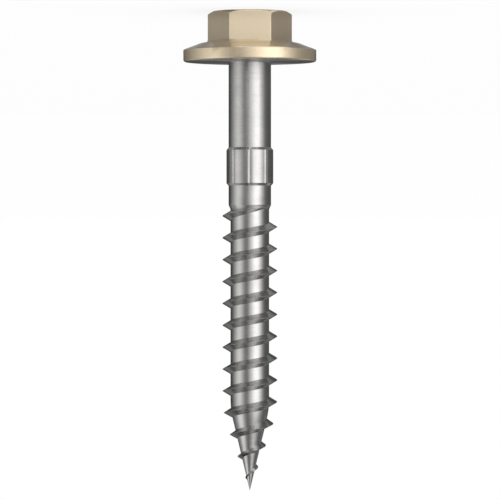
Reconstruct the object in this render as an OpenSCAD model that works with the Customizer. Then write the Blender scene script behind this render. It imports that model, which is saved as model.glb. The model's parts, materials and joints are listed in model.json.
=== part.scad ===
// Flanged hex head screw with a grooved collar and a coarse wood thread.
// One piece of steel, 50 mm long under the head, forged, rolled and then painted on its head.
// It stands on its head: the flat top of the hexagon lies on the XY plane, and the point is up.

/* [Hexagon] */
// Hexagon, across its flats
hex_af = 8.55; // [7:0.05:9.4]
// Height of the hexagon, from its flat top to the flange
hex_h = 3.55; // [2.5:0.05:6]
// Slope of the chamfer round the hexagon's top, in degrees
hex_chamfer_slope = 30; // [15:1:45]
// How far inside the faces that chamfer starts, at the flat top
hex_top_inset = 0.05; // [0:0.01:0.3]
// Rounding of the hexagon's upright edges
hex_edge_r = 0.2; // [0.05:0.01:0.4]

/* [Flange] */
// Flange, across its rim
flange_d = 15.5; // [13.5:0.1:20]
// Thickness of the flange beside the hexagon
flange_h = 2.35; // [2:0.05:4]
// Height of the upright rim
rim_h = 1.4; // [0.8:0.05:1.6]
// Rounding of the rim's edge on the bearing side
rim_edge_r = 0.25; // [0.05:0.05:0.5]
// Outer diameter of the flatter ring round the hexagon
ring_d = 11.5; // [11.2:0.1:13]
// Fall of the flatter ring, from the hexagon to its outer edge
ring_fall = 0.19; // [0.1:0.01:0.3]

/* [Shank] */
// Length of the screw under its head
length = 50; // [45:1:90]
// Plain shank, across
shank_d = 4.95; // [4.7:0.05:5.1]
// Fillet between the bearing face and the shank
shank_fillet_r = 0.15; // [0.1:0.05:0.6]
// Length of shank from the bearing face to the end of its taper into the thread's core
shank_len = 17.15; // [16:0.05:22]
// Length of the taper from the shank to the core
shank_taper_len = 0.5; // [0.3:0.1:1]

/* [Grooved collar] */
// Collar, across
collar_d = 5.45; // [5.3:0.05:6]
// Distance from the bearing face to the collar
collar_gap = 9.95; // [6:0.05:10.5]
// Length of the collar, its chamfers included
collar_len = 4.55; // [3:0.05:4.8]
// Length of the chamfer at each end of the collar
collar_chamfer_len = 0.3; // [0.15:0.05:0.6]
// Number of grooves round the collar
groove_count = 8; // [6:1:12]
// Width of a groove at the collar's surface
groove_w = 0.58; // [0.4:0.02:0.8]
// Width of a groove's floor
groove_floor_w = 0.12; // [0.06:0.02:0.3]
// Depth of a groove
groove_depth = 0.2; // [0.1:0.01:0.22]
// Turn of the grooves about the axis, away from the corners and faces of the hexagon, in degrees
groove_turn = 1; // [0:1:22]

/* [Thread] */
// Thread, across its crests
thread_d = 6.35; // [5.8:0.05:7.5]
// Core of the threaded part, across
core_d = 4.5; // [4:0.05:4.6]
// Distance between neighbouring crests
thread_pitch = 2.55; // [2.3:0.05:3.2]
// Angle between the two flanks of the thread, in degrees
thread_angle = 60; // [45:1:65]
// Width of the narrow land on the crest
crest_land = 0.04; // [0.04:0.01:0.15]

/* [Point] */
// Length of the core's cone
point_len = 9.5; // [7:0.5:12]
// Radius that eases the core into its cone
point_ease_r = 9; // [4:1:14]
// Length over which the crests run down to the tip
crest_cone_len = 9; // [7:0.5:12]
// Radial reach of the easing between the full crest and that run
crest_ease = 1; // [0.2:0.1:2]
// Bare length at the tip, where the thread has died out
bare_tip_len = 1; // [0.8:0.1:1.6]

/* [Hidden] */
$fn = 96;

paint_colour = [0.84, 0.78, 0.66];
steel_colour = [0.66, 0.67, 0.68];
steps_per_turn = 48;
arc_steps = 6;
// Depth to which joined shapes reach into each other
overlap = 0.15;

hex_corner_r = hex_af / 2 / cos(30);
head_h = hex_h + flange_h;
total_h = head_h + length;

shank_r = shank_d / 2;
collar_r = collar_d / 2;
core_r = core_d / 2;
crest_r = thread_d / 2;

collar_start = head_h + collar_gap;
collar_end = collar_start + collar_len;
shank_end = head_h + shank_len;
taper_start = shank_end - shank_taper_len;

point_angle = atan(core_r / point_len);
ease_start = total_h - point_len - point_ease_r * tan(point_angle / 2);
ease_end = ease_start + point_ease_r * sin(point_angle);

// The ridge leaves the shank's taper on the -X side and is full before it reaches the +X side.
thread_start_angle = 180;
thread_fade_in = 160;
thread_fade_out = 90;
thread_turns = (total_h - bare_tip_len - taper_start) / thread_pitch;
thread_steps = ceil(thread_turns * steps_per_turn);
thread_sweep = thread_turns * 360;

// Points of an arc about a centre, both ends included
function arc(centre, r, from, to) =
    [for (i = [0 : arc_steps]) let (a = from + (to - from) * i / arc_steps)
        centre + r * [cos(a), sin(a)]];

// Radius of the core at a height, along the cylinder, the easing arc and the cone
function core_at(z) =
    z < ease_start ? core_r :
    z < ease_end ? core_r - point_ease_r + sqrt(pow(point_ease_r, 2) - pow(z - ease_start, 2)) :
    (total_h - z) * tan(point_angle);

// Share of the full height that the ridge has at an angle along its sweep
function ridge_share(sweep) =
    min(1, sweep / thread_fade_in, (thread_sweep - sweep) / thread_fade_out);

// The smaller of two lengths, eased where they differ by less than a reach
function eased_min(a, b, reach) =
    min(a, b) - pow(max(1 - abs(a - b) / reach, 0), 3) * reach / 6;

// Radius of the ridge's crest at a height, before the ridge fades at its ends
function crest_at(z) = eased_min(crest_r, (total_h - z) * crest_r / crest_cone_len, crest_ease);

// Outline of the hexagon with rounded corners
module hexagon_outline() {
    corner_centre_r = hex_corner_r - hex_edge_r / cos(30);
    polygon([for (k = [0 : 5])
        each arc(corner_centre_r * [cos(60 * k), sin(60 * k)], hex_edge_r, 60 * k - 30, 60 * k + 30)]);
}

// The chamfer is a cone, so it bites deep at the corners and hardly touches the middle of each face.
module hexagon() {
    chamfer_start_r = hex_af / 2 - hex_top_inset;
    reach = hex_corner_r + overlap;
    chamfer_h = (reach - chamfer_start_r) * tan(hex_chamfer_slope);
    buried_h = hex_h + rim_h / 2;
    intersection() {
        linear_extrude(buried_h) hexagon_outline();
        rotate_extrude() polygon([
            [0, 0],
            [chamfer_start_r, 0],
            [reach, chamfer_h],
            [reach, buried_h + overlap],
            [0, buried_h + overlap]
        ]);
    }
}

module flange() {
    rim_r = flange_d / 2;
    rotate_extrude() polygon(concat(
        [
            [0, hex_h],
            [hex_corner_r, hex_h],
            [ring_d / 2, hex_h + ring_fall],
            [rim_r, head_h - rim_h]
        ],
        arc([rim_r - rim_edge_r, head_h - rim_edge_r], rim_edge_r, 0, 90),
        [[0, head_h]]
    ));
}

module head() {
    color(paint_colour) union() {
        hexagon();
        flange();
    }
}

// One groove's cutter, lying along the collar at the +X side
module groove() {
    mouth_r = collar_r + overlap;
    floor_r = collar_r - groove_depth;
    flare = (groove_w - groove_floor_w) / 2 / groove_depth;
    mouth_half = groove_floor_w / 2 + flare * (mouth_r - floor_r);
    translate([0, 0, collar_start - overlap])
        linear_extrude(collar_len + 2 * overlap)
            polygon([
                [floor_r, -groove_floor_w / 2],
                [mouth_r, -mouth_half],
                [mouth_r, mouth_half],
                [floor_r, groove_floor_w / 2]
            ]);
}

// Shank, collar, core and point are turned from one outline, then the grooves are cut.
module shaft() {
    fillet_r = shank_fillet_r;
    foot_r = shank_r + fillet_r;
    color(steel_colour) difference() {
        rotate_extrude() polygon(concat(
            [[0, head_h - rim_h / 2], [foot_r, head_h - rim_h / 2]],
            arc([foot_r, head_h + fillet_r], fillet_r, 270, 180),
            [
                [shank_r, collar_start],
                [collar_r, collar_start + collar_chamfer_len],
                [collar_r, collar_end - collar_chamfer_len],
                [shank_r, collar_end],
                [shank_r, taper_start],
                [core_r, shank_end]
            ],
            [for (p = arc([ease_start, core_r - point_ease_r], point_ease_r, 90, 90 - point_angle))
                [p[1], p[0]]],
            [[0, total_h]]
        ));
        for (k = [0 : groove_count - 1])
            rotate(360 / groove_count * k - groove_turn) groove();
    }
}

// One section of the ridge, from its buried foot over its crest to its other foot
function ridge_section(i) =
    let (
        sweep = thread_sweep * i / thread_steps,
        z = taper_start + thread_pitch * sweep / 360,
        turn = thread_start_angle + sweep,
        foot = core_at(z) - overlap,
        top = foot + (crest_at(z) - foot) * ridge_share(sweep),
        half_land = crest_land / 2,
        half_foot = half_land + (top - foot) * tan(thread_angle / 2),
        outline = [
            [core_at(z - half_foot) - overlap, z - half_foot],
            [top, z - half_land],
            [top, z + half_land],
            [core_at(z + half_foot) - overlap, z + half_foot]
        ]
    )
    [for (p = outline) [p[0] * cos(turn), p[0] * sin(turn), p[1]]];

// The thread is one right-handed ridge that winds round the core.
module thread() {
    sides = 4;
    points = [for (i = [0 : thread_steps]) each ridge_section(i)];
    skin = [for (i = [0 : thread_steps - 1], k = [0 : sides - 1])
        let (
            a = i * sides + k,
            b = i * sides + (k + 1) % sides
        )
        each [[a, b, b + sides], [a, b + sides, a + sides]]];
    last = thread_steps * sides;
    ends = [[0, 2, 1], [0, 3, 2], [last, last + 1, last + 2], [last, last + 2, last + 3]];
    color(steel_colour) polyhedron(points, concat(skin, ends));
}

module screw() {
    union() {
        head();
        shaft();
        thread();
    }
}

screw();
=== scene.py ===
import json
import math

import bmesh
import bpy
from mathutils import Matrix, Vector


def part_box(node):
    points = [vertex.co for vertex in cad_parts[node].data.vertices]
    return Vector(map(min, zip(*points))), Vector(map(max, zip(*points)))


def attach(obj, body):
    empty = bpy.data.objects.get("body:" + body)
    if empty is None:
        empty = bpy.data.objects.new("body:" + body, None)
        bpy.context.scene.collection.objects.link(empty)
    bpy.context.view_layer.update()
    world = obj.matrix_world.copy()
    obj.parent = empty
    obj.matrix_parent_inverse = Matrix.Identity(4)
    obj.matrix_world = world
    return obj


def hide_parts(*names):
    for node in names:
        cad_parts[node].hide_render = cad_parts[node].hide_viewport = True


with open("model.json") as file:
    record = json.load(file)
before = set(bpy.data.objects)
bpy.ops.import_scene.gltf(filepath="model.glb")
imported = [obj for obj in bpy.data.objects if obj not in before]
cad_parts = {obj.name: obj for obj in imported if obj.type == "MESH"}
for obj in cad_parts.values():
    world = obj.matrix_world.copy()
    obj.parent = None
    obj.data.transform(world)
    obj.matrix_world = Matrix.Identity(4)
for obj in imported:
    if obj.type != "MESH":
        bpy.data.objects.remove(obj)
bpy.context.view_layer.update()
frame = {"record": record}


# The head.
# The real one is a cold-forged hexagon on a round flange, in one piece with the shank. It is made here from
# sections that run from the middle of its top to the bearing face, one for each line round the hexagon.
MM = 0.001
far_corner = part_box("screw")[1]
mounts = {m["name"]: m for m in frame["record"]["mounts"]}
flange_r = far_corner.x
tip_z = far_corner.z
bearing_z = mounts["bearing_face"]["pos_m"][2]
hex_across = 8.55 * MM
hex_height = 3.55 * MM
hex_edge_round = 0.2 * MM
chamfer_inset = 0.03 * MM
chamfer_start_r = hex_across / 2 - chamfer_inset
chamfer_slope = math.tan(math.radians(30))
top_edge_round = 0.1 * MM
narrow_chamfer_round = 1.3
hex_foot_fillet = 0.25 * MM
ring_r = 5.75 * MM
ring_fall = 0.19 * MM
ring_edge_round = 1.0 * MM
rim_height = 1.4 * MM
rim_top_round = 0.12 * MM
rim_foot_round = 0.25 * MM
flat_lines = 14
corner_steps = 6


def rounded(corners, steps):
    """Points of an outline whose corners (r, z, radius) are rounded with arcs of that many steps."""
    points = [Vector(corners[0][:2])]
    for before, corner, after in zip(corners, corners[1:], corners[2:]):
        here = Vector(corner[:2])
        back = (Vector(before[:2]) - here).normalized()
        ahead = (Vector(after[:2]) - here).normalized()
        half = back.angle(ahead) / 2
        centre = here + (back + ahead).normalized() * corner[2] / math.sin(half)
        start = here + back * corner[2] / math.tan(half) - centre
        end = here + ahead * corner[2] / math.tan(half) - centre
        for i in range(steps + 1):
            points.append(centre + start.slerp(end, i / steps) * corner[2])
    return points + [Vector(corners[-1][:2])]


def skin(bm, rings, slots):
    """Quads between rings of as many vertices each. A slot is the material of one band of them."""
    for lower, upper, slot in zip(rings, rings[1:], slots):
        for i, vertex in enumerate(lower):
            j = (i + 1) % len(lower)
            face = bm.faces.new((vertex, lower[j], upper[j], upper[i]))
            face.material_index = slot


def at_angle(r, degrees):
    """A point at a radius from the axis and an angle round it."""
    return Vector((math.cos(math.radians(degrees)), math.sin(math.radians(degrees)))) * r


def hexagon_lines():
    """Polar angle and radius of the points round the hexagon, with its upright edges rounded."""
    centre_r = (hex_across / 2 - hex_edge_round) / math.cos(math.radians(30))
    points = []
    for k in range(6):
        corner = at_angle(centre_r, 60 * k)
        next_corner = at_angle(centre_r, 60 * (k + 1))
        for i in range(corner_steps + 1):
            points.append(corner + at_angle(hex_edge_round, 60 * (k + i / corner_steps) - 30))
        to_face = at_angle(hex_edge_round, 60 * k + 30)
        for i in range(1, flat_lines):
            points.append((corner + to_face).lerp(next_corner + to_face, i / flat_lines))
    return [(math.atan2(p.y, p.x), p.length) for p in points]


PAINT, STEEL = 0, 1
sections = []
for angle, radius in hexagon_lines():
    # The chamfer is narrow at the middle of a face, so its roundings shrink there.
    edge_round = min(top_edge_round, narrow_chamfer_round * (radius - chamfer_start_r))
    section = rounded([
        (0, 0),
        (chamfer_start_r, 0, edge_round),
        (radius, (radius - chamfer_start_r) * chamfer_slope, edge_round),
        (radius, hex_height, hex_foot_fillet),
        (ring_r, hex_height + ring_fall, ring_edge_round),
        (flange_r, bearing_z - rim_height, rim_top_round),
        (flange_r, bearing_z, rim_foot_round),
        (flange_r - 2 * rim_foot_round, bearing_z),
    ], corner_steps)
    sections.append([(p.x * math.cos(angle), p.x * math.sin(angle), p.y) for p in section])

head = bmesh.new()
head_rings = [[head.verts.new(s[k]) for s in sections] for k in range(1, len(sections[0]))]
skin(head, head_rings, [PAINT] * (len(head_rings) - 2) + [STEEL])
middle = head.verts.new((0, 0, 0))
top_ring = head_rings[0]
for i, vertex in enumerate(top_ring):
    head.faces.new((middle, top_ring[(i + 1) % len(top_ring)], vertex)).material_index = PAINT
head_mesh = bpy.data.meshes.new("head")
head.to_mesh(head_mesh)
head.free()


# The shank and its grooved collar.
# Plain drawn steel, with a collar swaged up from it. Eight grooves are pressed along the collar, and each
# has thrown up a low lip at one side. The outline is turned about the axis, and Geometry Nodes press the
# grooves into what stands above the shank.
shank_r = 2.475 * MM
shank_fillet = 0.15 * MM
collar_r = 2.69 * MM
collar_gap = 9.98 * MM
collar_length = 4.46 * MM
collar_start = bearing_z + collar_gap
collar_end = collar_start + collar_length
collar_chamfer = 0.3 * MM
collar_edge_round = 0.04 * MM
taper_gap = 16.68 * MM
taper_start = bearing_z + taper_gap

# Across a groove, measured from its middle: up from one edge to the lip, steeply down past a step to the
# floor, and up a long slope to the other edge.
groove_count = 8
groove_turn = math.radians(1)
groove_width = 0.58 * MM
lip_place = -0.19 * MM
lip_height = 0.047 * MM
step_place = -0.18 * MM
step_depth = 0.017 * MM
floor_place = -0.09 * MM
groove_depth = 0.041 * MM
full_groove_rise = 0.25
slope_lines = 3
lines_per_turn = 240
MATH = "ShaderNodeMath"
RANGE = "ShaderNodeMapRange"


def add_node(tree, kind, *sources, **settings):
    """Adds a node with its settings and feeds its inputs in order, from values or other nodes' outputs.
    None skips an input. It returns the node's first output, if it has one."""
    made = tree.nodes.new(kind)
    for name, value in settings.items():
        setattr(made, name, value)
    for socket, source in zip(made.inputs, sources):
        if isinstance(source, bpy.types.NodeSocket):
            tree.links.new(source, socket)
        elif source is not None:
            socket.default_value = source
    return made.outputs[0] if made.outputs else None


def geometry_tree(name, sizes):
    """A Geometry Nodes tree with a named input for each size, and those inputs by name."""
    tree = bpy.data.node_groups.new(name, "GeometryNodeTree")
    tree.interface.new_socket("Geometry", in_out="INPUT", socket_type="NodeSocketGeometry")
    for size, value in sizes.items():
        kind = "NodeSocketInt" if isinstance(value, int) else "NodeSocketFloat"
        tree.interface.new_socket(size, in_out="INPUT", socket_type=kind).default_value = value
    tree.interface.new_socket("Material", in_out="INPUT", socket_type="NodeSocketMaterial")
    tree.interface.new_socket("Geometry", in_out="OUTPUT", socket_type="NodeSocketGeometry")
    entry = tree.nodes.new("NodeGroupInput")
    return tree, {socket.name: socket for socket in entry.outputs if socket.name}


def finish_tree(tree, shape, material):
    """Ends a tree in Realize Instances and Set Material."""
    real = add_node(tree, "GeometryNodeRealizeInstances", shape)
    coated = add_node(tree, "GeometryNodeSetMaterial", real, None, material)
    add_node(tree, "NodeGroupOutput", coated)


def run_tree(tree, mesh, material, sizes):
    """The plain mesh that a tree makes of a mesh, with its inputs set by identifier."""
    holder = bpy.data.objects.new(tree.name, mesh)
    bpy.context.scene.collection.objects.link(holder)
    modifier = holder.modifiers.new(tree.name, "NODES")
    modifier.node_group = tree
    for item in tree.interface.items_tree:
        if item.in_out == "INPUT" and item.name in sizes:
            modifier[item.identifier] = sizes[item.name]
        if item.in_out == "INPUT" and item.name == "Material":
            modifier[item.identifier] = material
    seen = holder.evaluated_get(bpy.context.evaluated_depsgraph_get())
    plain = bpy.data.meshes.new_from_object(seen)
    holder.modifiers.remove(modifier)
    bpy.data.objects.remove(holder)
    return plain


def linear(colour):
    """A colour written as sRGB hex, in linear light."""
    channels = [int(colour[i:i + 2], 16) / 255 for i in (1, 3, 5)]
    return [c / 12.92 if c <= 0.04045 else ((c + 0.055) / 1.055) ** 2.4 for c in channels] + [1.0]


# Bright zinc, a few thousandths of a millimetre thick, plated on drawn and rolled steel. The rolling leaves
# fine lines round the screw, so a highlight is drawn out along the axis and stays narrow round it.
# The real lines are about 0.02 mm apart, too close to show, so they are drawn 0.25 mm apart and faint. The
# zinc clouds a little from one millimetre to the next. The bearing face keeps the duller skin of the die.
line_gap = 0.25 * MM
line_length = 4.0 * MM
line_depth = 0.0018 * MM
cloud_size = 1.5 * MM
drawn_roughness = (0.24, 0.28)
die_dullness = 0.2
die_end = bearing_z + 0.02 * MM
steel = bpy.data.materials.new("zinc_plated_steel_satin")
steel.use_nodes = True
tree = steel.node_tree
steel_shader = tree.nodes["Principled BSDF"]
steel_shader.inputs["Metallic"].default_value = 1.0
steel_shader.inputs["Anisotropic"].default_value = 0.84
steel_shader.inputs["Anisotropic Rotation"].default_value = 0.25
spot = add_node(tree, "ShaderNodeTexCoord").node.outputs["Object"]
stretch = (1 / line_length, 1 / line_length, 1 / line_gap)
drawn = add_node(tree, "ShaderNodeVectorMath", spot, stretch, operation="MULTIPLY")
lines = add_node(tree, "ShaderNodeTexNoise", drawn, None, 1.0, 2.0, 0.6)
clouds = add_node(tree, "ShaderNodeTexNoise", spot, None, 1 / cloud_size, 3.0, 0.5)
clouded = add_node(tree, "ShaderNodeValToRGB", clouds)
for stop, place, colour in zip(clouded.node.color_ramp.elements, (0.3, 0.7), ("#C5C4C3", "#D1D0CF")):
    stop.position = place
    stop.color = linear(colour)
drawn_dull = add_node(tree, RANGE, lines, 0.3, 0.7, *drawn_roughness)
up = add_node(tree, "ShaderNodeSeparateXYZ", spot).node.outputs["Z"]
off_die = add_node(tree, RANGE, up, die_end, bearing_z + shank_fillet, die_dullness, 0.0)
dulled = add_node(tree, MATH, drawn_dull, off_die, operation="ADD")
relief = add_node(tree, "ShaderNodeBump", 1.0, line_depth)
tree.links.new(lines, relief.node.inputs["Height"])
tree.links.new(clouded, steel_shader.inputs["Base Color"])
tree.links.new(dulled, steel_shader.inputs["Roughness"])
tree.links.new(relief, steel_shader.inputs["Normal"])


def between(start, end, count):
    """Evenly spaced places between two others, without those two."""
    return [start + (end - start) * i / (count + 1) for i in range(1, count + 1)]


# Lines along the collar stand where a groove's section bends, and are evenly spaced between the grooves.
half_width = groove_width / 2
across_groove = [
    -half_width, *between(-half_width, lip_place, 1), lip_place,
    step_place, *between(step_place, floor_place, 1), floor_place,
    *between(floor_place, half_width, slope_lines), half_width,
]
land_end = 2 * math.pi * collar_r / groove_count - half_width
land_lines = lines_per_turn // groove_count - len(across_groove)
across_all = across_groove + between(half_width, land_end, land_lines)
turned_angles = []
for k in range(groove_count):
    turned_angles += [2 * math.pi * k / groove_count + x / collar_r for x in across_all]
turned_angles = [-groove_turn - a for a in reversed(turned_angles)]
first_line = min(range(lines_per_turn), key=lambda i: abs(turned_angles[i]))
turned_angles = turned_angles[first_line:] + turned_angles[:first_line]
even_angles = [2 * math.pi * i / lines_per_turn for i in range(lines_per_turn)]

outline = rounded([
    (shank_r + 4 * shank_fillet, bearing_z),
    (shank_r, bearing_z, shank_fillet),
    (shank_r, collar_start, collar_edge_round),
    (collar_r, collar_start + collar_chamfer, collar_edge_round),
    (collar_r, collar_end - collar_chamfer, collar_edge_round),
    (shank_r, collar_end, collar_edge_round),
    (shank_r, taper_start),
], corner_steps)
shank = bmesh.new()
shank_rings = []
for point in outline:
    ring = []
    for angle in even_angles if point == outline[-1] else turned_angles:
        ring.append(shank.verts.new((point.x * math.cos(angle), point.x * math.sin(angle), point.y)))
    shank_rings.append(ring)
skin(shank, shank_rings, [0] * (len(shank_rings) - 1))
turned_mesh = bpy.data.meshes.new("turned_shank")
shank.to_mesh(turned_mesh)
shank.free()

groove_sizes = {
    "Collar start": collar_start,
    "Collar end": collar_end,
    "Shank radius": shank_r,
    "Collar radius": collar_r,
    "Count": groove_count,
    "Turn": groove_turn,
    "Half width": half_width,
    "Lip place": lip_place,
    "Lip height": lip_height,
    "Step place": step_place,
    "Step depth": step_depth,
    "Floor place": floor_place,
    "Depth": groove_depth,
    "Full rise": full_groove_rise,
}
grooves, size = geometry_tree("pressed_grooves", groove_sizes)
here = add_node(grooves, "GeometryNodeInputPosition")
flat = add_node(grooves, "ShaderNodeVectorMath", here, (1, 1, 0), operation="MULTIPLY")
parts = add_node(grooves, "ShaderNodeSeparateXYZ", here)
angle = add_node(grooves, MATH, parts.node.outputs["Y"], parts, operation="ARCTAN2")
angle = add_node(grooves, MATH, angle, size["Turn"], operation="ADD")
radius = add_node(grooves, "ShaderNodeVectorMath", flat, operation="LENGTH").node.outputs["Value"]
pace = add_node(grooves, MATH, 2 * math.pi, size["Count"], operation="DIVIDE")
place = add_node(grooves, MATH, angle, pace, operation="DIVIDE")
nearest = add_node(grooves, MATH, place, operation="ROUND")
place = add_node(grooves, MATH, nearest, place, operation="SUBTRACT")
place = add_node(grooves, MATH, place, pace, operation="MULTIPLY")
across = add_node(grooves, MATH, place, size["Collar radius"], operation="MULTIPLY")
left_edge = add_node(grooves, MATH, 0.0, size["Half width"], operation="SUBTRACT")
above_lip = add_node(grooves, MATH, 0.0, size["Lip height"], operation="SUBTRACT")
stations = [
    (left_edge, 0.0),
    (size["Lip place"], above_lip),
    (size["Step place"], size["Step depth"]),
    (size["Floor place"], size["Depth"]),
    (size["Half width"], 0.0),
]
sunk = 0.0
for (start, start_depth), (end, end_depth) in zip(stations, stations[1:]):
    rise = add_node(grooves, MATH, end_depth, start_depth, operation="SUBTRACT")
    part = add_node(grooves, RANGE, across, start, end, 0.0, rise)
    sunk = add_node(grooves, MATH, sunk, part, operation="ADD")
swell = add_node(grooves, RANGE, radius, size["Shank radius"], size["Collar radius"])
swell = add_node(grooves, MATH, swell, size["Full rise"], operation="DIVIDE")
swell = add_node(grooves, MATH, swell, 1.0, operation="MINIMUM")
sunk = add_node(grooves, MATH, sunk, swell, operation="MULTIPLY")
ratio = add_node(grooves, MATH, sunk, radius, operation="DIVIDE")
ratio = add_node(grooves, MATH, 1.0, ratio, operation="SUBTRACT")
ratio = add_node(grooves, "ShaderNodeCombineXYZ", ratio, ratio, 1.0)
moved = add_node(grooves, "ShaderNodeVectorMath", here, ratio, operation="MULTIPLY")
up = parts.node.outputs["Z"]
after = add_node(grooves, "FunctionNodeCompare", up, size["Collar start"], operation="GREATER_EQUAL")
until = add_node(grooves, "FunctionNodeCompare", up, size["Collar end"], operation="LESS_EQUAL")
on_collar = add_node(grooves, "FunctionNodeBooleanMath", after, until, operation="AND")
shape = add_node(grooves, "GeometryNodeSetPosition", size["Geometry"], on_collar, moved)
finish_tree(grooves, shape, size["Material"])
collar_mesh = run_tree(grooves, turned_mesh, steel, groove_sizes)


# The thread and the point.
# The core is rolled down from the shank, and the same rolling raises one right-handed ridge that ends in a
# gimlet point. Geometry Nodes bend a strip, one pitch wide, round the axis, from one crest to the next.
core_r = 2.25 * MM
crest_r = 3.19 * MM
pitch = 2.55 * MM
taper_length = 0.5 * MM
crest_land = 0.01 * MM
flank_angle = math.radians(30)
point_length = 9.5 * MM
crest_cone = 9.0 * MM
crest_ease = 1.0 * MM
point_ease = 0.4 * MM
bare_tip = 1.0 * MM
fade_in_turns = 160 / 360
fade_out_turns = 90 / 360
clear_length = 0.05 * MM
weld_gap = 1e-7
strip_rows = 16
flank_share = 0.25
land_share = flank_share / 4
spare_turns = 2
thread_sizes = {
    "Core radius": core_r,
    "Shank radius": shank_r,
    "Crest radius": crest_r,
    "Taper start": taper_start,
    "Taper length": taper_length,
    "Tip height": tip_z,
    "Point length": point_length,
    "Point ease": point_ease,
    "Crest cone": crest_cone,
    "Crest ease": crest_ease,
    "Pitch": pitch,
    "Half land": crest_land / 2,
    "Flank slope": math.tan(flank_angle),
    "Full turns": (tip_z - bare_tip - taper_start) / pitch,
    "Fade in": fade_in_turns,
    "Fade out": fade_out_turns,
    "Clear length": clear_length,
    "Weld gap": weld_gap,
    "Strip turns": math.ceil((tip_z - taper_start) / pitch) + spare_turns,
    "Lines per turn": lines_per_turn,
    "Rows": strip_rows,
}

thread, size = geometry_tree("rolled_thread", thread_sizes)


def core_radius(z):
    """Nodes for the radius under the ridge at a height, on the shank's taper, the core or the cone."""
    left = add_node(thread, MATH, size["Tip height"], z, operation="SUBTRACT")
    cone = add_node(thread, MATH, left, size["Point length"], operation="DIVIDE")
    cone = add_node(thread, MATH, cone, size["Core radius"], operation="MULTIPLY")
    eased = add_node(thread, MATH, cone, size["Core radius"], size["Point ease"], operation="SMOOTH_MIN")
    eased = add_node(thread, MATH, eased, 0.0, operation="MAXIMUM")
    end = add_node(thread, MATH, size["Taper start"], size["Taper length"], operation="ADD")
    taper = add_node(thread, RANGE, z, size["Taper start"], end, size["Shank radius"], size["Core radius"])
    above = add_node(thread, MATH, taper, size["Core radius"], operation="SUBTRACT")
    return add_node(thread, MATH, eased, above, operation="ADD")


def ridge(turn):
    """Nodes for a ridge's middle height, its height above the core, and half the width of its foot."""
    z = add_node(thread, MATH, turn, size["Pitch"], size["Taper start"], operation="MULTIPLY_ADD")
    left = add_node(thread, MATH, size["Tip height"], z, operation="SUBTRACT")
    crest = add_node(thread, MATH, left, size["Crest cone"], operation="DIVIDE")
    crest = add_node(thread, MATH, crest, size["Crest radius"], operation="MULTIPLY")
    crest = add_node(thread, MATH, crest, size["Crest radius"], size["Crest ease"], operation="SMOOTH_MIN")
    full = add_node(thread, MATH, crest, core_radius(z), operation="SUBTRACT")
    full = add_node(thread, MATH, full, 0.0, operation="MAXIMUM")
    fade_in = add_node(thread, RANGE, turn, 0.0, size["Fade in"], 0.0, 1.0)
    turns_left = add_node(thread, MATH, size["Full turns"], turn, operation="SUBTRACT")
    fade_out = add_node(thread, RANGE, turns_left, 0.0, size["Fade out"], 0.0, 1.0)
    height = add_node(thread, MATH, full, fade_in, operation="MULTIPLY")
    height = add_node(thread, MATH, height, fade_out, operation="MULTIPLY")
    foot = add_node(thread, MATH, height, size["Flank slope"], size["Half land"], operation="MULTIPLY_ADD")
    return z, height, foot


x_lines = add_node(thread, MATH, size["Strip turns"], size["Lines per turn"], 1.0, operation="MULTIPLY_ADD")
y_lines = add_node(thread, MATH, size["Rows"], 1.0, operation="ADD")
strip = add_node(thread, "GeometryNodeMeshGrid", size["Strip turns"], 1.0, x_lines, y_lines)
spot = add_node(thread, "ShaderNodeSeparateXYZ", add_node(thread, "GeometryNodeInputPosition"))
half_strip = add_node(thread, MATH, size["Strip turns"], 0.5, -1.0, operation="MULTIPLY_ADD")
turn = add_node(thread, MATH, spot, half_strip, operation="ADD")
next_turn = add_node(thread, MATH, turn, 1.0, operation="ADD")
row = add_node(thread, MATH, spot.node.outputs["Y"], 0.5, operation="ADD")
z, height, foot = ridge(turn)
_, next_height, next_foot = ridge(next_turn)

flank = add_node(thread, MATH, foot, size["Half land"], operation="SUBTRACT")
next_flank = add_node(thread, MATH, next_foot, size["Half land"], operation="SUBTRACT")
gap = add_node(thread, MATH, size["Pitch"], foot, operation="SUBTRACT")
gap = add_node(thread, MATH, gap, next_foot, operation="SUBTRACT")

# Up the strip a row passes half of a crest's land, its flank, the bare core, the next flank and half a land.
for start, end, rise in (
    (0.0, land_share, size["Half land"]),
    (land_share, flank_share, flank),
    (flank_share, 1 - flank_share, gap),
    (1 - flank_share, 1 - land_share, next_flank),
    (1 - land_share, 1.0, size["Half land"]),
):
    step = add_node(thread, RANGE, row, start, end, 0.0, rise)
    z = add_node(thread, MATH, z, step, operation="ADD")

# Heights are kept between the taper's start and the tip, and at that start the strip meets the round shank.
kept = add_node(thread, MATH, z, size["Taper start"], operation="MAXIMUM")
kept = add_node(thread, MATH, kept, size["Tip height"], operation="MINIMUM")
falling = add_node(thread, RANGE, row, land_share, flank_share, height, 0.0)
rising = add_node(thread, RANGE, row, 1 - flank_share, 1 - land_share, 0.0, next_height)
bump = add_node(thread, MATH, falling, rising, operation="ADD")
clear_z = add_node(thread, MATH, size["Taper start"], size["Clear length"], operation="ADD")
clear = add_node(thread, RANGE, z, size["Taper start"], clear_z, 0.0, 1.0)
bump = add_node(thread, MATH, bump, clear, operation="MULTIPLY")
radius = add_node(thread, MATH, core_radius(kept), bump, operation="ADD")
angle = add_node(thread, MATH, turn, 2 * math.pi, math.pi, operation="MULTIPLY_ADD")
cosine = add_node(thread, MATH, angle, operation="COSINE")
sine = add_node(thread, MATH, angle, operation="SINE")
x = add_node(thread, MATH, radius, cosine, operation="MULTIPLY")
y = add_node(thread, MATH, radius, sine, operation="MULTIPLY")
wound = add_node(thread, "ShaderNodeCombineXYZ", x, y, kept)
shape = add_node(thread, "GeometryNodeSetPosition", strip, None, wound)
shape = add_node(thread, "GeometryNodeMergeByDistance", shape, None, size["Weld gap"])
finish_tree(thread, shape, size["Material"])
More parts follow.
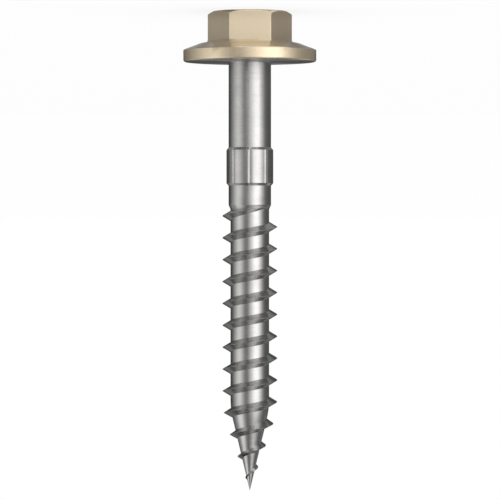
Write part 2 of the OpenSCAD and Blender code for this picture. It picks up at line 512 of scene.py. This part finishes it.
thread_mesh = run_tree(thread, bpy.data.meshes.new("strip"), steel, thread_sizes)


# The finished screw.
# Head, shank and thread are one piece of steel, so their meshes are joined into one closed skin. The head
# is painted down to the foot of its rim, and the bearing face and all below it stay bare.

# Beige pearl enamel, sprayed on the zinc and baked. Its mica flakes mirror the light in the enamel's own
# colour, the clear layer over them gives the gloss, and the surface is a little wavy, as sprayed paint is.
# The flakes are about 0.03 mm wide, too small to show, so they are drawn 0.12 mm wide and faint.
flake_size = 0.12 * MM
wave_length = 0.8 * MM
wave_height = 0.0015 * MM
flake_roughness = (0.17, 0.23)
sharp_angle = math.radians(22)
paint = bpy.data.materials.new("beige_pearl_enamel_gloss")
paint.use_nodes = True
tree = paint.node_tree
paint_shader = tree.nodes["Principled BSDF"]
paint_shader.inputs["Metallic"].default_value = 0.75
paint_shader.inputs["Coat Weight"].default_value = 1.0
paint_shader.inputs["Coat Roughness"].default_value = 0.15
paint_shader.inputs["Coat IOR"].default_value = 1.5
spot = add_node(tree, "ShaderNodeTexCoord").node.outputs["Object"]
flakes = add_node(tree, "ShaderNodeTexVoronoi", spot, None, 1 / flake_size).node.outputs["Color"]
tinted = add_node(tree, "ShaderNodeValToRGB", flakes)
for stop, colour in zip(tinted.node.color_ramp.elements, ("#DFCDAE", "#E7D5B6")):
    stop.color = linear(colour)
dulled = add_node(tree, RANGE, flakes, 0.0, 1.0, *flake_roughness)
waves = add_node(tree, "ShaderNodeTexNoise", spot, None, 1 / wave_length, 1.0, 0.4)
relief = add_node(tree, "ShaderNodeBump", 1.0, wave_height)
tree.links.new(waves, relief.node.inputs["Height"])
tree.links.new(tinted, paint_shader.inputs["Base Color"])
tree.links.new(dulled, paint_shader.inputs["Roughness"])
tree.links.new(relief, paint_shader.inputs["Normal"])

whole = bmesh.new()
whole.from_mesh(head_mesh)
for mesh in (collar_mesh, thread_mesh):
    before = len(whole.faces)
    whole.from_mesh(mesh)
    whole.faces.ensure_lookup_table()
    for face in whole.faces[before:]:
        face.material_index = STEEL
bmesh.ops.remove_doubles(whole, verts=whole.verts, dist=weld_gap)
open_edges = [e for e in whole.edges if e.is_boundary]
bearing = bmesh.ops.bridge_loops(whole, edges=open_edges)
for face in bearing["faces"]:
    face.material_index = STEEL
bmesh.ops.recalc_face_normals(whole, faces=whole.faces)
for face in whole.faces:
    face.smooth = True
screw_mesh = bpy.data.meshes.new("finished_screw")
whole.to_mesh(screw_mesh)
whole.free()
screw_mesh.materials.append(paint)
screw_mesh.materials.append(steel)
screw_mesh.set_sharp_from_angle(angle=sharp_angle)
screw = bpy.data.objects.new("finished_screw", screw_mesh)
bpy.context.scene.collection.objects.link(screw)
flats = screw.modifiers.new("flat_faces", "WEIGHTED_NORMAL")
flats.mode = "FACE_AREA"
flats.weight = 100
flats.keep_sharp = True
plain = bpy.data.meshes.new_from_object(screw.evaluated_get(bpy.context.evaluated_depsgraph_get()))
screw.modifiers.remove(flats)
screw.data = plain
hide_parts("screw")
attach(screw, "root")


# The studio.
# A light tent of cloth round the screw, darker where its panels are black and with painted shade beside the
# hexagon, over a plain pale floor. The camera is turned half round about its line of sight, so that the
# picture has the head at the top.
scene = bpy.context.scene
scene.view_settings.view_transform = "Standard"
picture_height = 58.29 * MM
camera_distance = 440 * MM
camera_x = -0.022 * MM
camera_z = 27.825 * MM
camera_data = bpy.data.cameras.new("camera")
camera_data.sensor_width = 36
camera_data.lens = camera_data.sensor_width * camera_distance / picture_height
camera_data.clip_start = 0.01
camera_data.clip_end = 10
camera = bpy.data.objects.new("camera", camera_data)
camera.location = (camera_x, -camera_distance, camera_z)
camera.rotation_euler = (math.radians(90), math.radians(180), 0)
scene.collection.objects.link(camera)
scene.camera = camera


def seen_or_mirrored(tree):
    """Nodes that give 1 to rays that see a thing directly, in a gloss or through glass, and 0 to others."""
    path = add_node(tree, "ShaderNodeLightPath").node.outputs
    seen = add_node(tree, MATH, path["Is Camera Ray"], path["Is Glossy Ray"], operation="MAXIMUM")
    return add_node(tree, MATH, seen, path["Is Transmission Ray"], operation="MAXIMUM")


white = linear("#FFFFFF")

# Matt white paper, which has no gloss and takes the screw's soft shadow. Most of the white that the eye
# sees is the paper's own glow, and it adds no light to matt surfaces.
floor_half = 3.0
paper_glow = 0.85
floor_mesh = bpy.data.meshes.new("floor")
floor_corners = [(floor_half * x, floor_half * y, 0) for x, y in ((-1, -1), (1, -1), (1, 1), (-1, 1))]
floor_mesh.from_pydata(floor_corners, [], [(0, 1, 2, 3)])
floor = bpy.data.objects.new("floor", floor_mesh)
scene.collection.objects.link(floor)
paper = bpy.data.materials.new("white_paper_matt")
paper.use_nodes = True
tree = paper.node_tree
paper_shader = tree.nodes["Principled BSDF"]
paper_shader.inputs["Base Color"].default_value = linear("#F0F0F0")
paper_shader.inputs["Roughness"].default_value = 1.0
share = add_node(tree, MATH, seen_or_mirrored(tree), paper_glow, operation="MULTIPLY")
glow = add_node(tree, "ShaderNodeEmission", white, 1.0)
mixed = add_node(tree, "ShaderNodeMixShader", share, paper_shader.outputs[0], glow)
tree.links.new(mixed, tree.nodes["Material Output"].inputs["Surface"])
floor_mesh.materials.append(paper)

# White cloth lit from behind, with black cloth hung over parts of it. Only a gloss shows it, and it gives
# the metal its bright and dark stripes. Each level is the cloth's brightness at an azimuth in degrees, which
# is 0 towards the camera and grows towards the picture's right.
tent_r = 0.35
tent_top = 0.62
tent_hole_r = 4.3 * MM
tent_floor_z = 0.02 * MM
tent_outline = (
    (tent_hole_r, tent_floor_z),
    (tent_r, tent_floor_z),
    (tent_r, tent_top),
    (tent_hole_r, tent_top),
)
tent_panels = 96
peak_level = 1.9
roof_level = 0.08
roof_start = 0.9 * tent_top
wall_levels = [
    (-180, 0.05), (-134, 0.08), (-122, 0.18), (-112, 0.30), (-102, 0.43), (-94, 0.57), (-86, 0.72),
    (-78, 0.86), (-66, 1.0), (-53, 0.86), (-40, 0.52), (-30, 0.31), (-20, 0.25), (-12, 0.32), (0, 0.75),
    (10, 1.08), (20, 1.48), (30, 1.85), (48, 1.85), (60, 1.29), (74, 0.69), (88, 0.28), (104, 0.14),
    (120, 0.12), (180, 0.07),
]
high_levels = [
    (-180, 0.12), (-165, 0.12), (-150, 0.42), (-128, 0.42), (-115, 0.30), (-104, 0.38), (-94, 0.68),
    (-85, 0.96), (-77, 1.12), (-64, 1.12), (-53, 0.92), (-46, 0.72), (-39, 0.50), (-30, 0.32), (-21, 0.20),
    (-8, 0.11), (1, 0.11), (10, 0.18), (20, 0.28), (28, 0.39), (34, 0.45), (42, 0.45), (48, 0.40),
    (56, 0.33), (65, 0.21), (76, 0.14), (95, 0.10), (112, 0.14), (128, 0.42), (150, 0.42), (165, 0.12),
    (180, 0.12),
]
top_levels = [
    (-180, 0.08), (-100, 0.12), (-60, 0.22), (-20, 0.30), (10, 0.85), (22, 1.45), (48, 1.45), (62, 0.4),
    (80, 0.12), (180, 0.08),
]
near_levels = [
    (-180, 0.35), (-150, 0.35), (-135, 0.32), (-110, 0.29), (-80, 0.215), (-54, 0.225), (-28, 0.27),
    (-14, 1.08), (-6, 1.02), (6, 1.02), (12, 1.16), (24, 1.16), (32, 0.98), (36, 1.25), (54, 1.25),
    (60, 0.22), (84, 0.20), (110, 0.23), (135, 0.23), (150, 0.35), (180, 0.35),
]
tent_data = bmesh.new()
tent_rings = []
for r, z in tent_outline:
    spots = [at_angle(r, 360 * i / tent_panels) for i in range(tent_panels)]
    tent_rings.append([tent_data.verts.new((spot.x, spot.y, z)) for spot in spots])
skin(tent_data, tent_rings, [0, 0, 0])
tent_mesh = bpy.data.meshes.new("light_tent")
tent_data.to_mesh(tent_mesh)
tent_data.free()
tent = bpy.data.objects.new("light_tent", tent_mesh)
scene.collection.objects.link(tent)
tent.visible_camera = False
tent.visible_diffuse = False
tent.visible_transmission = False
tent.visible_shadow = False
cloth = bpy.data.materials.new("tent_cloth_glowing")
cloth.use_nodes = True
tree = cloth.node_tree
tree.nodes.clear()
spot = add_node(tree, "ShaderNodeTexCoord").node.outputs["Object"]
turned = add_node(tree, "ShaderNodeMapping", spot, None, (0, 0, math.pi / 2))
azimuth_share = add_node(tree, "ShaderNodeTexGradient", turned, gradient_type="RADIAL").node.outputs["Fac"]
ramps = []
for levels in (wall_levels, high_levels, top_levels, near_levels):
    ramp = add_node(tree, "ShaderNodeValToRGB", azimuth_share)
    stops = ramp.node.color_ramp.elements
    places = sorted((0.5 - azimuth / 360, level / peak_level) for azimuth, level in levels)
    stops[0].position, stops[1].position = places[0][0], places[-1][0]
    stops[0].color = [places[0][1]] * 3 + [1]
    stops[1].color = [places[-1][1]] * 3 + [1]
    for position, level in places[1:-1]:
        stops.new(position).color = [level] * 3 + [1]
    ramps.append(ramp)
up = add_node(tree, "ShaderNodeSeparateXYZ", spot).node.outputs["Z"]
flat = add_node(tree, "ShaderNodeVectorMath", spot, (1, 1, 0), operation="MULTIPLY")
away = add_node(tree, "ShaderNodeVectorMath", flat, operation="LENGTH").node.outputs["Value"]

# The high and the top levels take over between two heights, and the near ones between two distances out.
level = ramps[0]
for ramp, measure, start, end in (
    (ramps[1], up, 0.10, 0.20),
    (ramps[2], up, 0.30, 0.50),
    (ramps[3], away, 0.075, 0.035),
):
    share = add_node(tree, RANGE, measure, start, end)
    level = add_node(tree, RANGE, share, 0.0, 1.0, level, ramp)

# The cloth is dim beside the hexagon, a painted shadow of the hexagon's foot on the floor that only the
# gloss shows. It is full under the flange, dimmer towards its rim and brighter again further out, and the
# roof is nearly black.
for measure, start, end, start_level, end_level in (
    (away, 4.4 * MM, 5.0 * MM, 0.5, 1.05),
    (away, 6.0 * MM, 7.5 * MM, 1.0, 0.62),
    (away, 10.0 * MM, 18.0 * MM, 1.0, 1.54),
    (up, roof_start, tent_top, 1.0, roof_level),
):
    shade = add_node(tree, RANGE, measure, start, end, start_level, end_level)
    level = add_node(tree, MATH, level, shade, operation="MULTIPLY")
glow = add_node(tree, "ShaderNodeEmission", level, peak_level)
add_node(tree, "ShaderNodeOutputMaterial", glow)
tent_mesh.materials.append(cloth)

# A white backdrop, which lights the paper, and what is matt in the enamel, evenly from all sides.
world_light = 1.1
world = bpy.data.worlds.new("studio")
scene.world = world
world.use_nodes = True
tree = world.node_tree
backdrop = tree.nodes["Background"]
level = add_node(tree, RANGE, seen_or_mirrored(tree), 0.0, 1.0, world_light, 1.0)
tree.links.new(level, backdrop.inputs["Strength"])
backdrop.inputs["Color"].default_value = white
